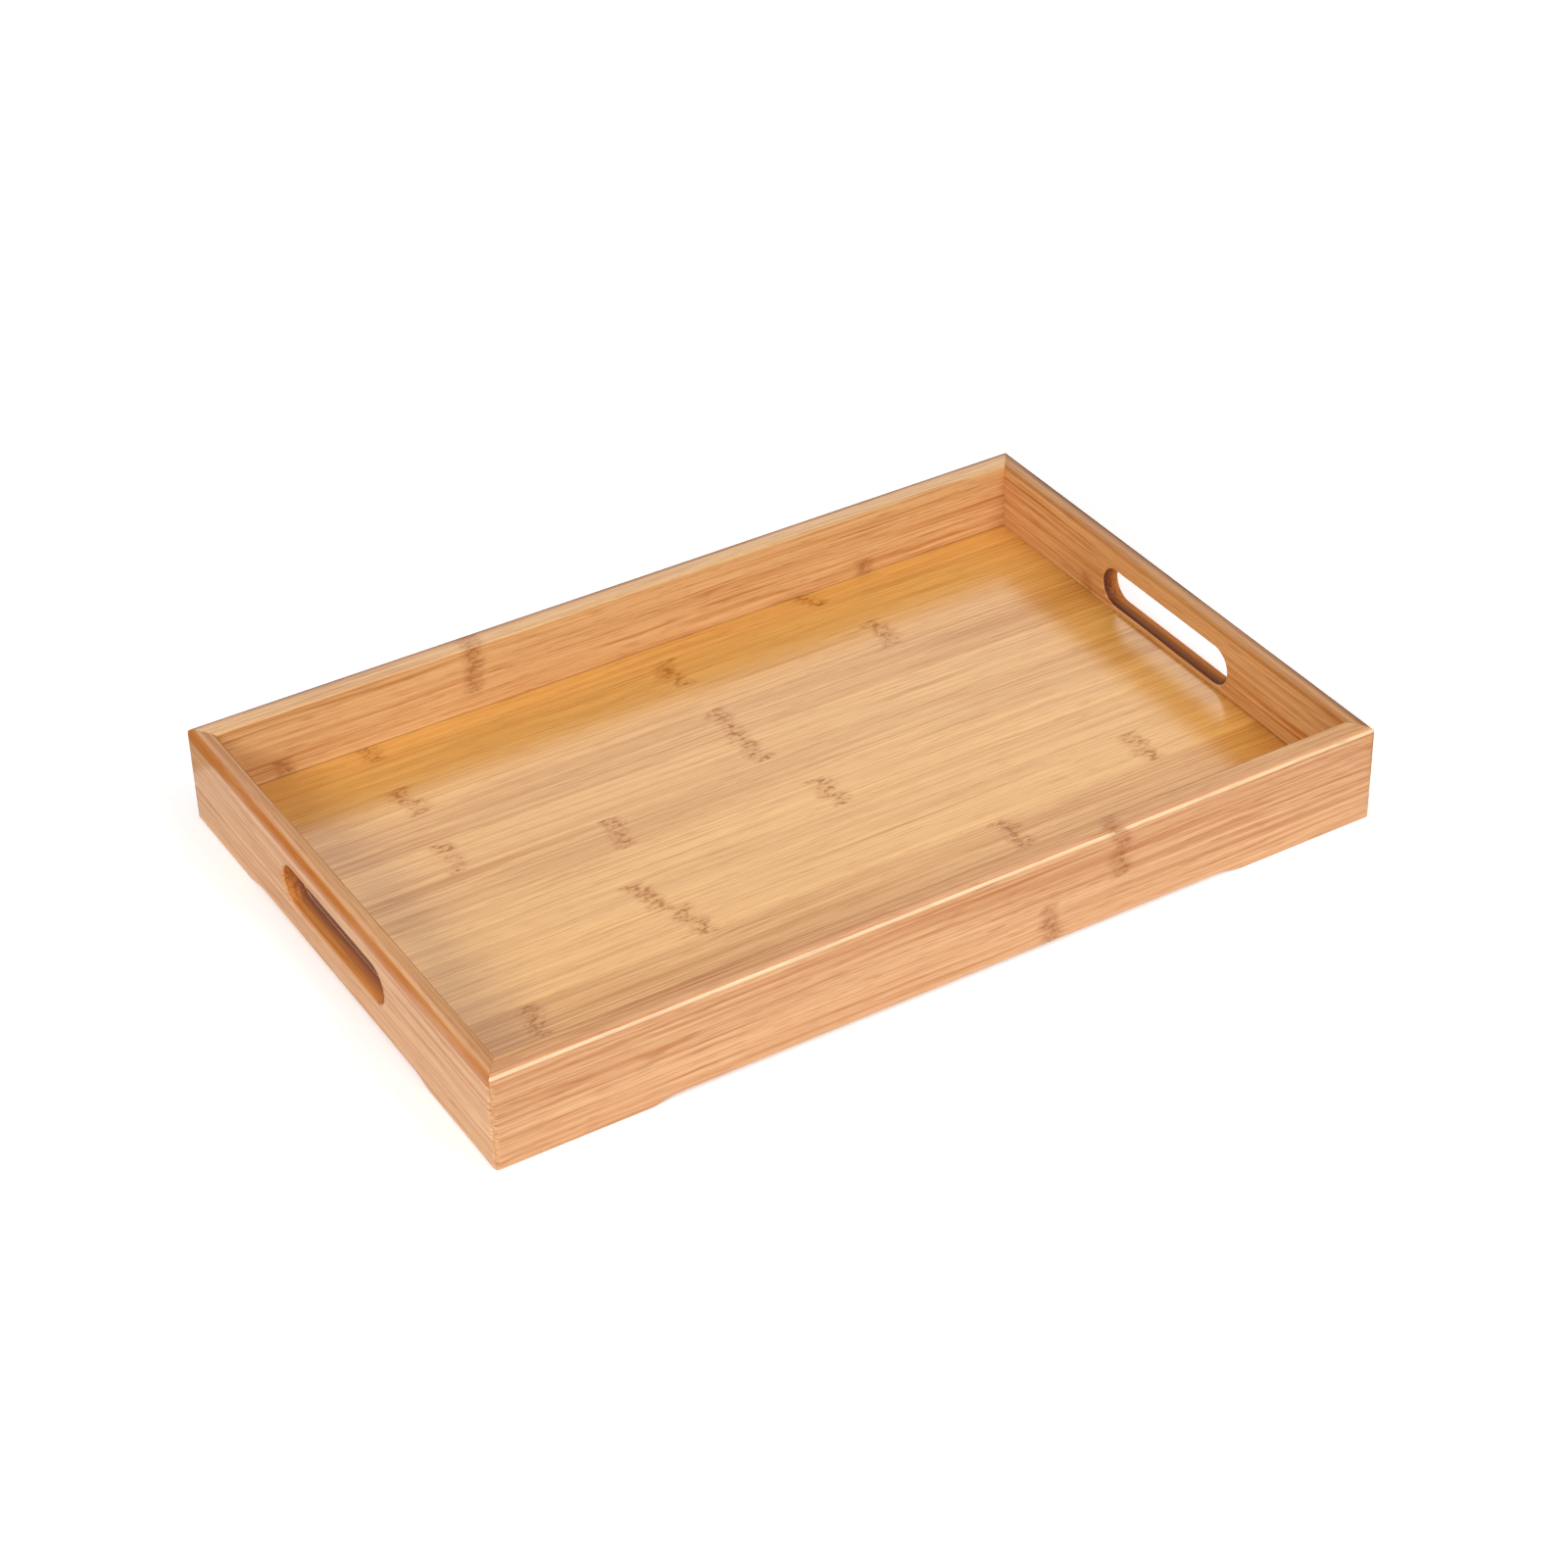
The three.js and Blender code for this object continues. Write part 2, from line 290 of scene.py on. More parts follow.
def paint_light_and_shade(tree, marks, wood, colours, strength):
    """Lay painted light and shade over the wood. Returns its colour, how much top grain and shade it has,
    and how much painted shade it has beside the left rail.
    """
    # The rail's top: its yellower grain, with painted shade laid over it, more on some sides than on others.
    crown = top_grain_and_shade(tree, marks)
    wood = lay_over(tree, crown, wood, linear(colours["crown"]), "MULTIPLY")
    # The outer edge: a painted highlight on the front rail, a painted dark reflection on the others.
    edge_reflected = painted_edge_reflection(tree, marks, strength["edge"])
    wood = lay_over(tree, edge_reflected, wood, measure(tree, "edge colour", "Color"))
    # Painted shade, darker towards the left end of each lath.
    root = ramp(tree, marks["along"], *LEFT_END_SHADE, high=strength["end"], smooth=True)
    wood = lay_over(tree, root, wood, linear(LEFT_END_SHADE_COLOUR), "MULTIPLY")
    # Dark brown painted shade in the last millimetres beside the left rail.
    shadowed = ramp(tree, marks["along"], *SHADOWED_END, high=strength["shadowed"], smooth=True)
    wood = lay_over(tree, shadowed, wood, linear(colours["shadowed"]))
    return wood, crown, shadowed


print("lath ends are soaked from", SHADOWED_END[0], "mm on")

# %% [markdown]
# ### Knuckles and pores
# On a planed strip a knuckle is a band that wanders across, a shade darker than the wood and blotted with
# small brown marks. A pore is a short dark dash where a fibre was cut open. Each knuckle could be a small
# picture, but as a distance along the strip it can be moved by changing one number.

# %% Brown marks
KNUCKLE_HALF = 7.5
KNUCKLE_CORE = 1.0
KNUCKLE_WANDER = 14.0
BLOTS_SHOW = (0.45, 0.62)
PORES_SHOW = (0.57, 0.72)


def brown_marks(tree, marks, strength):
    """How brown a point is because of the nearest knuckle or of a pore."""
    wander = work_out(tree, "SUBTRACT", marks["wander"], EVEN)
    bent = work_out(tree, "MULTIPLY_ADD", wander, KNUCKLE_WANDER, marks["along"])
    distances = []
    for knuckle in ("knuckle 1", "knuckle 2"):
        away = work_out(tree, "SUBTRACT", bent, measure(tree, knuckle))
        distances.append(work_out(tree, "ABSOLUTE", away))
    nearest = work_out(tree, "MINIMUM", *distances)
    band = ramp(tree, nearest, KNUCKLE_HALF, KNUCKLE_CORE, smooth=True)
    blots = ramp(tree, marks["blot"], *BLOTS_SHOW, strength["halo"], strength["blot"])
    knots = work_out(tree, "MULTIPLY", band, blots)
    pores = ramp(tree, marks["pore"], *PORES_SHOW, high=strength["pore"])
    return work_out(tree, "MAXIMUM", pores, knots)


print("a knuckle is", 2 * KNUCKLE_HALF, "mm long")

# %% [markdown]
# ### Varnish
# The varnish is clear and satin, so the wood is saturated where it mirrors the dark and looks veiled where
# it mirrors the bright room. The shine of the wood itself could be turned up for that, but a coat on top
# keeps its own smooth shine while the fibres under it stand a hair proud. Dark fibres, brown marks, the
# rail tops and the painted shade beside the left rail drink the varnish, and less of it is left there to
# shine.

# %% Finish: varnished bamboo
DARK_FIBRES = (0.45, 1.1)
DARK_FIBRE_THIRST = 0.45
TOP_THIRST = 0.7
VARNISH_LEFT = 0.1
FIBRE_RELIEF = 0.04 * MM


def varnish_coat(tree, varnish, shade, brownness, crown, shadowed):
    """How much varnish is left on the wood."""
    thirst = ramp(tree, shade, *DARK_FIBRES, high=DARK_FIBRE_THIRST)
    dull_top = work_out(tree, "MULTIPLY", crown, TOP_THIRST)
    for place in (brownness, dull_top, shadowed):
        thirst = work_out(tree, "MAXIMUM", thirst, place)
    return ramp(tree, thirst, 0.0, 1.0, varnish, VARNISH_LEFT * varnish)


def bamboo(name, colours, strength, varnish):
    """Bamboo from its colours, the strength of each mark, and how much of a coat it has."""
    material = bpy.data.materials.new(name)
    material.use_nodes = True
    tree = material.node_tree
    tree.nodes.clear()
    marks = cane_marks(tree)
    shade = wood_shade(tree, marks, strength)
    wood = wood_colour(tree, marks, shade, colours)
    wood, crown, shadowed = paint_light_and_shade(tree, marks, wood, colours, strength)
    brownness = brown_marks(tree, marks, strength)
    colour = lay_over(tree, brownness, wood, linear(colours["knot"]))
    relief = add_node(tree, "ShaderNodeBump",
                      {"Height": marks["fibre"], "Strength": 0.3, "Distance": FIBRE_RELIEF})
    coat = varnish_coat(tree, varnish, shade, brownness, crown, shadowed) if varnish else 0.0
    surface = add_node(tree, "ShaderNodeBsdfPrincipled", {
        "Base Color": colour, "Roughness": 0.6, "Specular IOR Level": 0.1, "Normal": relief,
        "Coat Weight": coat, "Coat Roughness": 0.23, "Coat IOR": 1.5,
    })
    add_node(tree, "ShaderNodeOutputMaterial", {"Surface": surface})
    return material


print("bamboo can be varnished")

# %% [markdown]
# ### The three finishes
# The base is honey-coloured, with its fine and even face up, and painted shade at its left end. The rails
# show stronger fibre lines on their sawn sides, painted shade on their tops and painted reflections on their
# outer edges. The walls of the hand slots are cut across the fibres, so they drink the varnish and turn
# dull and brown, and painted shade darkens them further towards the inside. One recipe with other colours
# and strengths makes all three, so they look like the same cane.

# %% Mix the finishes
NO_TINT = "#ffffff"
# Edge-glued base: one honey colour through and through, under a full coat, with painted shade at its left
# end.
base_bamboo = bamboo(
    "varnished bamboo, base",
    {"skin": ("#ebb15c", "#c07f34"), "pith": ("#ebb15c", "#c07f34"), "crown": NO_TINT,
     "knot": "#9c4e04", "shadowed": "#743a1e"},
    {"fibre": 2.0, "streak": 0.6, "line": 0.2, "pore": 0.3, "edge": 0.0, "end": 0.14,
     "shadowed": 0.9, "halo": 0.15, "blot": 0.75},
    1.0,
)
# Rails: pinkish outside and yellower inside, under a thinner coat of the same varnish. Their tops get
# painted shade, and their outer edges a painted highlight on the front and a painted dark reflection
# elsewhere.
rail_bamboo = bamboo(
    "varnished bamboo, rails",
    {"skin": ("#f1bd8a", "#c27a44"), "pith": ("#f2c48a", "#bd6e1c"), "crown": "#c4a45c",
     "knot": "#98501c", "shadowed": NO_TINT},
    {"fibre": 1.6, "streak": 0.6, "line": 0.35, "pore": 0.35, "edge": 1.0, "end": 0.0,
     "shadowed": 0.0, "halo": 0.3, "blot": 0.65},
    0.65,
)
# Slot walls: orange brown towards the outside, deep brown painted shade towards the inside, with no coat
# left.
slot_bamboo = bamboo(
    "cut bamboo with painted shade",
    {"skin": ("#ee9a4a", "#803e16"), "pith": ("#94523a", "#30140e"), "crown": NO_TINT,
     "knot": "#6c3814", "shadowed": NO_TINT},
    {"fibre": 1.0, "streak": 0.5, "line": 0.2, "pore": 0.2, "edge": 0.0, "end": 0.0,
     "shadowed": 0.0, "halo": 0.0, "blot": 0.0},
    0.0,
)
print("finishes:", [m.name for m in (base_bamboo, rail_bamboo, slot_bamboo)])

# %% [markdown]
# ## Shapes from node trees
# The twelve laths of the base are one shape in different sizes, and so are the strips of the rails. A
# geometry tree with named inputs makes such a family. One helper starts a tree, a second one runs it and
# keeps the result as a plain mesh, so that nothing is left to work out later. Two more draw the straight
# path that every strip follows and write a measure on its mesh.

# %% Shape helpers
FLAT_FACES_FIRST = 90


def shape_tree(name, inputs):
    """A geometry tree with named inputs. Returns the tree and its inputs."""
    tree = bpy.data.node_groups.new(name, "GeometryNodeTree")
    tree.interface.new_socket("Geometry", in_out="INPUT", socket_type="NodeSocketGeometry")
    for label, kind in inputs.items():
        tree.interface.new_socket(label, in_out="INPUT", socket_type="NodeSocket" + kind)
    tree.interface.new_socket("Geometry", in_out="OUTPUT", socket_type="NodeSocketGeometry")
    return tree, tree.nodes.new("NodeGroupInput").outputs


def grow(name, tree, values, drawing=None):
    """Run a tree on a drawing and keep what it makes as a plain mesh in a new piece."""
    carrier = bpy.data.objects.new(name + " drawing", drawing or bpy.data.meshes.new(name))
    scene.collection.objects.link(carrier)
    modifier = carrier.modifiers.new("shape", "NODES")
    modifier.node_group = tree
    for socket in tree.interface.items_tree:
        if socket.in_out == "INPUT" and socket.name in values:
            modifier[socket.identifier] = values[socket.name]
    even = carrier.modifiers.new("even shading", "WEIGHTED_NORMAL")
    even.keep_sharp = True
    even.weight = FLAT_FACES_FIRST
    depsgraph = bpy.context.evaluated_depsgraph_get()
    mesh = bpy.data.meshes.new_from_object(
        carrier.evaluated_get(depsgraph), preserve_all_data_layers=True, depsgraph=depsgraph
    )
    mesh.name = name
    bpy.data.objects.remove(carrier)
    piece = bpy.data.objects.new(name, mesh)
    scene.collection.objects.link(piece)
    return piece


def straight_path(tree, length):
    """A line along x with its middle at the origin. Returns it and half its length."""
    half = work_out(tree, "MULTIPLY", length, 0.5)
    minus_half = work_out(tree, "MULTIPLY", half, -1.0)
    path = add_node(tree, "GeometryNodeCurvePrimitiveLine", {
        "Start": add_node(tree, "ShaderNodeCombineXYZ", {"X": minus_half}),
        "End": add_node(tree, "ShaderNodeCombineXYZ", {"X": half}),
    })
    return path, half


def write_on(tree, shape, name, value, kind="FLOAT"):
    """Write a measure on every point of a shape, where a finish finds it."""
    return add_node(tree, "GeometryNodeStoreNamedAttribute",
                    {"Geometry": shape, "Name": name, "Value": value}, data_type=kind)


print("helpers:", [helper.__name__ for helper in (shape_tree, grow, straight_path, write_on)])

# %% [markdown]
# ## The base strips
# A base strip is a plain lath: a rectangle with hardly eased edges, swept along its length. Twelve scaled
# and bevelled boxes would do too, but the scale would pull their bevels out of shape. They differ only in
# width and place, so one tree makes them all. It also writes the strip's grain, tone, seed and knuckles
# on the mesh, where the bamboo finish finds them.

# %% Tree: a lath
STRIP_MARKS = ("Tone", "Seed", "Knuckle 1", "Knuckle 2")
lath_tree, given = shape_tree("bamboo lath", {
    "Length": "Float", "Width": "Float", "Thickness": "Float", "Edge ease": "Float", "Middle": "Vector",
    **dict.fromkeys(STRIP_MARKS, "Float"), "Finish": "Material",
})
section = add_node(lath_tree, "GeometryNodeCurvePrimitiveQuadrilateral",
                   {"Width": given["Width"], "Height": given["Thickness"]})
section = add_node(lath_tree, "GeometryNodeFilletCurve",
                   {"Curve": section, "Radius": given["Edge ease"], "Count": 2}, mode="POLY")
path, half = straight_path(lath_tree, given["Length"])
lath = add_node(lath_tree, "GeometryNodeCurveToMesh",
                {"Curve": path, "Profile Curve": section, "Fill Caps": True})
lath = add_node(lath_tree, "GeometryNodeTransform", {"Geometry": lath, "Translation": given["Middle"]})
position = add_node(lath_tree, "GeometryNodeInputPosition")
lath = write_on(lath_tree, lath, "grain", position, "FLOAT_VECTOR")
for label in STRIP_MARKS:
    lath = write_on(lath_tree, lath, label.lower(), given[label])
lath = add_node(lath_tree, "GeometryNodeSetShadeSmooth", {"Geometry": lath, "Shade Smooth": False})
lath = add_node(lath_tree, "GeometryNodeRealizeInstances", {"Geometry": lath})
lath = add_node(lath_tree, "GeometryNodeSetMaterial", {"Geometry": lath, "Material": given["Finish"]})
add_node(lath_tree, "NodeGroupOutput", {"Geometry": lath})
print("lath tree has", len(lath_tree.nodes), "nodes")

# %% [markdown]
# The tones and the knuckles of the strips are chosen the way a maker lays out a panel: neighbours differ a
# little, and the joints of the canes never line up. The third strip from the front is darker: painted shade
# from the front rail. They could be drawn at random, but a list can be set
# strip by strip. A strip with one joint gets its second one far off its end.

# %% Lay the twelve base strips
GLUED_EDGE_EASE = 0.06 * MM
NO_KNUCKLE = 900.0
LATH_SEED = 1.37
base_strips = {
    # strip: (tone, first knuckle, second knuckle), the knuckles in millimetres from the middle
    1: (0.40, -40.0, NO_KNUCKLE),
    2: (0.50, 120.0, NO_KNUCKLE),
    # darker tone: painted shade from the front rail
    3: (0.66, -163.0, 67.0),
    4: (0.30, -78.0, 150.0),
    5: (0.36, -85.0, NO_KNUCKLE),
    6: (0.34, 18.0, NO_KNUCKLE),
    7: (0.55, -74.0, NO_KNUCKLE),
    8: (0.36, -142.0, 7.0),
    9: (0.63, 7.0, NO_KNUCKLE),
    10: (0.40, -138.0, 105.0),
    11: (0.35, 7.0, NO_KNUCKLE),
    12: (0.26, -137.0, 91.0),
}
for number, (tone, knuckle_1, knuckle_2) in base_strips.items():
    node = f"base_strip_{number:02d}"
    low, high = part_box(node)
    size = high - low
    strip = grow(f"base_lath_{number:02d}", lath_tree, {
        "Length": size.x, "Width": size.y, "Thickness": size.z, "Edge ease": GLUED_EDGE_EASE,
        "Middle": (low + high) / 2, "Tone": tone, "Seed": number * LATH_SEED, "Knuckle 1": knuckle_1,
        "Knuckle 2": knuckle_2, "Finish": base_bamboo,
    })
    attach(strip, "root")
    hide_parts(node)
print("base of", len(base_strips), "laths")

# %% [markdown]
# ## The rails
# A rail is two strips, one on top of the other. The lower one has the groove that holds the base, the
# upper one the rounded top edges. Groove and rounding could be cut into a box one by one, as a router
# does it. It is simpler to draw the section with both and sweep it. A section lists its corners as how
# far inward from the outer face and how far up, going round so that the strip lies on its left side.

# %% Draw the two sections
OUTER_TOP_RADIUS = 3.5 * MM
INNER_TOP_RADIUS = 1.5 * MM
BOTTOM_RADIUS = 1.0 * MM
GROOVE_DEPTH = 4.0 * MM
GROOVE_PLAY = 0.3 * MM


def arc(middle, radius, first, last, steps=6):
    """Points on an arc, angles in degrees, counted from inward towards up."""
    turns = [math.radians(first + (last - first) * i / steps) for i in range(steps + 1)]
    return [(middle[0] + radius * math.cos(a), middle[1] + radius * math.sin(a)) for a in turns]


def lower_section(thick):
    """The lower strip of a rail, with the groove in its inner face."""
    ease = GLUED_EDGE_EASE
    groove_floor = thick - GROOVE_DEPTH
    groove_top = BASE_TOP + GROOVE_PLAY
    return (
        arc((BOTTOM_RADIUS, BOTTOM_RADIUS), BOTTOM_RADIUS, 180, 270)
        + arc((thick - BOTTOM_RADIUS, BOTTOM_RADIUS), BOTTOM_RADIUS, 270, 360)
        + [(thick, BASE_UNDERSIDE), (groove_floor, BASE_UNDERSIDE), (groove_floor, groove_top)]
        + [(thick, groove_top), (thick, GLUE_LINE - ease), (thick - ease, GLUE_LINE)]
        + [(ease, GLUE_LINE), (0.0, GLUE_LINE - ease)]
    )


def upper_section(thick):
    """The upper strip of a rail, with its two rounded top edges."""
    ease = GLUED_EDGE_EASE
    return (
        [(0.0, GLUE_LINE + ease), (ease, GLUE_LINE), (thick - ease, GLUE_LINE), (thick, GLUE_LINE + ease)]
        + arc((thick - INNER_TOP_RADIUS, TRAY_HEIGHT - INNER_TOP_RADIUS), INNER_TOP_RADIUS, 0, 90)
        + arc((OUTER_TOP_RADIUS, TRAY_HEIGHT - OUTER_TOP_RADIUS), OUTER_TOP_RADIUS, 90, 180)
    )


def drawing_of(name, corners):
    """A closed outline as a mesh of edges."""
    mesh = bpy.data.meshes.new(name)
    count = len(corners)
    mesh.from_pydata([(x, y, 0.0) for x, y in corners], [(i, (i + 1) % count) for i in range(count)], [])
    return mesh


for thick in (LONG_RAIL_THICKNESS, END_RAIL_THICKNESS):
    print("sections of", len(lower_section(thick)), "and", len(upper_section(thick)), "corners")

# %% [markdown]
# ## The hand slots
# A hand slot is a long round-ended hole through both strips of an end rail, with a rounded rim. The rim
# could be bevelled after cutting, but a bevel gets into trouble where the slot crosses the glue line. So
# the slot is cut by a solid of its own, whose outline widens towards both faces of the rail along a
# quarter circle. Taking it away leaves the slot with its rim in one go. The cutter's faces also remember
# which of them make the bare walls, and the rail gets that with the cut.

# %% Make the slot cutter
SLOT_LENGTH = 94.0 * MM
SLOT_BOTTOM = BASE_TOP + 2.6 * MM
SLOT_TOP = TRAY_HEIGHT - 11.8 * MM
SLOT_RIM_RADIUS = 1.5 * MM
CUT_PAST_FACE = 2 * MM
RIM_STEPS = 8
ROUND_END_STEPS = 16
OUTER_RIM_VARNISHED = 0.6
INNER_RIM_VARNISHED = 0.4


def slot_layers():
    """How deep in the rail each outline of the slot lies, and how much wider than the slot it is."""
    layers = [(-CUT_PAST_FACE, SLOT_RIM_RADIUS)]
    for i in range(RIM_STEPS + 1):
        angle = math.radians(90 * i / RIM_STEPS)
        layers.append((SLOT_RIM_RADIUS * (1 - math.cos(angle)), SLOT_RIM_RADIUS * (1 - math.sin(angle))))
    return layers + [(END_RAIL_THICKNESS - depth, wider) for depth, wider in reversed(layers)]


def slot_outline(depth, wider):
    """The round-ended outline of the slot, in the rail's own frame: x along, y inward, z up."""
    radius = (SLOT_TOP - SLOT_BOTTOM) / 2
    straight = SLOT_LENGTH / 2 - radius
    level = (SLOT_TOP + SLOT_BOTTOM) / 2
    outline = []
    for side, first in ((1, -90), (-1, 90)):
        for i in range(ROUND_END_STEPS + 1):
            angle = math.radians(first + 180 * i / ROUND_END_STEPS)
            x = side * straight + (radius + wider) * math.cos(angle)
            z = level + (radius + wider) * math.sin(angle)
            outline.append((x, depth, z))
    return outline


def slot_cutter():
    """The slot as a closed solid, with its bare walls marked."""
    shape = bmesh.new()
    rings = [[shape.verts.new(p) for p in slot_outline(*layer)] for layer in slot_layers()]
    for ring, after in zip(rings, rings[1:]):
        for i in range(len(ring)):
            shape.faces.new((ring[i - 1], ring[i], after[i], after[i - 1]))
    shape.faces.new(rings[0])
    shape.faces.new(reversed(rings[-1]))
    bmesh.ops.recalc_face_normals(shape, faces=shape.faces)
    mesh = bpy.data.meshes.new("slot cutter")
    shape.to_mesh(mesh)
    shape.free()
    outside = OUTER_RIM_VARNISHED * SLOT_RIM_RADIUS
    inside = END_RAIL_THICKNESS - INNER_RIM_VARNISHED * SLOT_RIM_RADIUS
    walls = [float(outside < face.center.y < inside) for face in mesh.polygons]
    mesh.attributes.new("cut", "FLOAT", "FACE").data.foreach_set("value", walls)
    cutter = bpy.data.objects.new("slot cutter", mesh)
    scene.collection.objects.link(cutter)
    return cutter


cutter = slot_cutter()
print("slot cutter with", len(cutter.data.polygons), "faces")

# %% [markdown]
# ## The rail tree
# One tree makes all eight strips, lying along x with the outer face towards the viewer. It sweeps a
# section along the rail and slants both ends to a mitre. A saw would cut the mitre, and a boolean could
# do the same here. Shortening each line of the strip the further inward it lies gives the same slant
# without any new faces.

# %% Rail tree: sweep and mitre
RAIL_STEP = 2.0 * MM
rail_tree, given = shape_tree("bamboo rail strip", {
    "Length": "Float", "Depth of tray": "Float", "Height of tray": "Float", "Mitre slope": "Float",
    "Mitre gap": "Float", "Corner radius": "Float", "Foot": "Float", "Relief depth": "Float",
    "Relief slope": "Float", "Bottom radius": "Float", "Slot": "Object", "Side": "Vector",
    "Turn": "Rotation", **dict.fromkeys(STRIP_MARKS, "Float"), "Finish": "Material",
    "Slot finish": "Material", "Edge colour": "Color", "Edge place": "Vector", "Top stain": "Float",
})
# The sweep lays a section upside down on its path, so it is turned half round first.
section = add_node(rail_tree, "GeometryNodeMeshToCurve", {"Mesh": given["Geometry"]})
section = add_node(rail_tree, "GeometryNodeTransform",
                   {"Geometry": section, "Rotation": (0.0, 0.0, math.pi)})
path, half = straight_path(rail_tree, given["Length"])
path = add_node(rail_tree, "GeometryNodeResampleCurve", {"Curve": path, "Length": RAIL_STEP}, mode="LENGTH")
strip = add_node(rail_tree, "GeometryNodeCurveToMesh",
                 {"Curve": path, "Profile Curve": section, "Fill Caps": True})

position = add_node(rail_tree, "GeometryNodeInputPosition")
along, inward, up = add_node(rail_tree, "ShaderNodeSeparateXYZ", {0: position}).outputs
off_end = work_out(rail_tree, "MULTIPLY_ADD", inward, given["Mitre slope"], given["Mitre gap"])
share = work_out(rail_tree, "DIVIDE", off_end, half)
shorter = work_out(rail_tree, "MULTIPLY", along, share)
back_off = work_out(rail_tree, "MULTIPLY", shorter, -1.0)
offset = add_node(rail_tree, "ShaderNodeCombineXYZ", {"X": back_off})
strip = add_node(rail_tree, "GeometryNodeSetPosition", {"Geometry": strip, "Offset": offset})
print("swept in steps of", RAIL_STEP / MM, "mm")

# %% [markdown]
# Between its corners the tray is planed hollow underneath, so that it stands on four feet. The tree lifts
# the lowest points of the strip there, with a short slope at each end. The strip was swept in small steps,
# so there are enough points to follow the slope.

# %% Rail tree: feet
A_HAIR = 0.01 * MM
from_middle = work_out(rail_tree, "ABSOLUTE", along)
foot_edge = work_out(rail_tree, "SUBTRACT", half, given["Foot"])
slope_half = work_out(rail_tree, "MULTIPLY", given["Relief slope"], 0.5)
slope_start = work_out(rail_tree, "ADD", foot_edge, slope_half)
slope_end = work_out(rail_tree, "SUBTRACT", foot_edge, slope_half)
lift = ramp(rail_tree, from_middle, slope_start, slope_end, high=given["Relief depth"])
low_enough = work_out(rail_tree, "ADD", given["Bottom radius"], A_HAIR)
at_bottom = add_node(rail_tree, "FunctionNodeCompare", {"A": up, "B": low_enough}, operation="LESS_THAN")
offset = add_node(rail_tree, "ShaderNodeCombineXYZ", {"Z": lift})
strip = add_node(rail_tree, "GeometryNodeSetPosition",
                 {"Geometry": strip, "Selection": at_bottom, "Offset": offset})
print("feet added,", len(rail_tree.nodes), "nodes so far")

# %% [markdown]
# The upright corners of the frame are rounded once it is glued. A bevel on each strip would have to meet
# its neighbour's, so instead a block with the rounded plan of the whole tray, a hair larger than it, trims
# every strip alike. Then the slot is taken away.

# %% Rail tree: round corner and slot
PLAN_HAIR = 0.004 * MM
BLOCK_PAST_TRAY = 5 * MM
plan = add_node(rail_tree, "GeometryNodeCurvePrimitiveQuadrilateral", {
    "Width": work_out(rail_tree, "ADD", given["Length"], PLAN_HAIR),
    "Height": work_out(rail_tree, "ADD", given["Depth of tray"], PLAN_HAIR),
})
plan = add_node(rail_tree, "GeometryNodeFilletCurve",
                {"Curve": plan, "Radius": given["Corner radius"], "Count": 8}, mode="POLY")
block_top = work_out(rail_tree, "ADD", given["Height of tray"], BLOCK_PAST_TRAY)
block_top = add_node(rail_tree, "ShaderNodeCombineXYZ", {"Z": block_top})
upright = add_node(rail_tree, "GeometryNodeCurvePrimitiveLine",
                   {"Start": (0.0, 0.0, -BLOCK_PAST_TRAY), "End": block_top})
block = add_node(rail_tree, "GeometryNodeCurveToMesh",
                 {"Curve": upright, "Profile Curve": plan, "Fill Caps": True})
middle = work_out(rail_tree, "MULTIPLY", given["Depth of tray"], 0.5)
middle = add_node(rail_tree, "ShaderNodeCombineXYZ", {"Y": middle})
block = add_node(rail_tree, "GeometryNodeTransform", {"Geometry": block, "Translation": middle})
trimmed = add_node(rail_tree, "GeometryNodeMeshBoolean", operation="INTERSECT", solver="EXACT")
for shape in (strip, block):
    rail_tree.links.new(shape.outputs[0], trimmed.inputs["Mesh 2"])
slot = add_node(rail_tree, "GeometryNodeObjectInfo", {"Object": given["Slot"]}).outputs["Geometry"]
strip = add_node(rail_tree, "GeometryNodeMeshBoolean", {"Mesh 1": trimmed, "Mesh 2": slot},
                 operation="DIFFERENCE", solver="EXACT")
print("corner and slot added,", len(rail_tree.nodes), "nodes so far")

# %% [markdown]
# Before the strip is turned to its side of the tray, the tree writes its measures on it, so that the grain
# runs along every rail. Edges that bend sharply stay crisp, and the others are shaded smooth. The walls
# of the slot get their own finish last.

# %% Rail tree: measures, shading and finish
CRISP_FROM = math.radians(32)
strip = write_on(rail_tree, strip, "grain", add_node(rail_tree, "GeometryNodeInputPosition"), "FLOAT_VECTOR")
for label in STRIP_MARKS + ("Top stain",):
    strip = write_on(rail_tree, strip, label.lower(), given[label])
for label, kind in (("Edge colour", "FLOAT_COLOR"), ("Edge place", "FLOAT_VECTOR")):
    strip = write_on(rail_tree, strip, label.lower(), given[label], kind)
strip = add_node(rail_tree, "GeometryNodeSetShadeSmooth", {"Geometry": strip})
bend = add_node(rail_tree, "GeometryNodeInputMeshEdgeAngle").outputs["Unsigned Angle"]
crisp = add_node(rail_tree, "FunctionNodeCompare", {"A": bend, "B": CRISP_FROM}, operation="GREATER_THAN")
strip = add_node(rail_tree, "GeometryNodeSetShadeSmooth",
                 {"Geometry": strip, "Selection": crisp, "Shade Smooth": False}, domain="EDGE")
strip = add_node(rail_tree, "GeometryNodeTransform",
                 {"Geometry": strip, "Translation": given["Side"], "Rotation": given["Turn"]})
strip = add_node(rail_tree, "GeometryNodeRealizeInstances", {"Geometry": strip})
strip = add_node(rail_tree, "GeometryNodeSetMaterial", {"Geometry": strip, "Material": given["Finish"]})
cut = add_node(rail_tree, "GeometryNodeInputNamedAttribute", {"Name": "cut"})
is_cut = add_node(rail_tree, "FunctionNodeCompare", {"A": cut, "B": 0.5}, operation="GREATER_THAN")
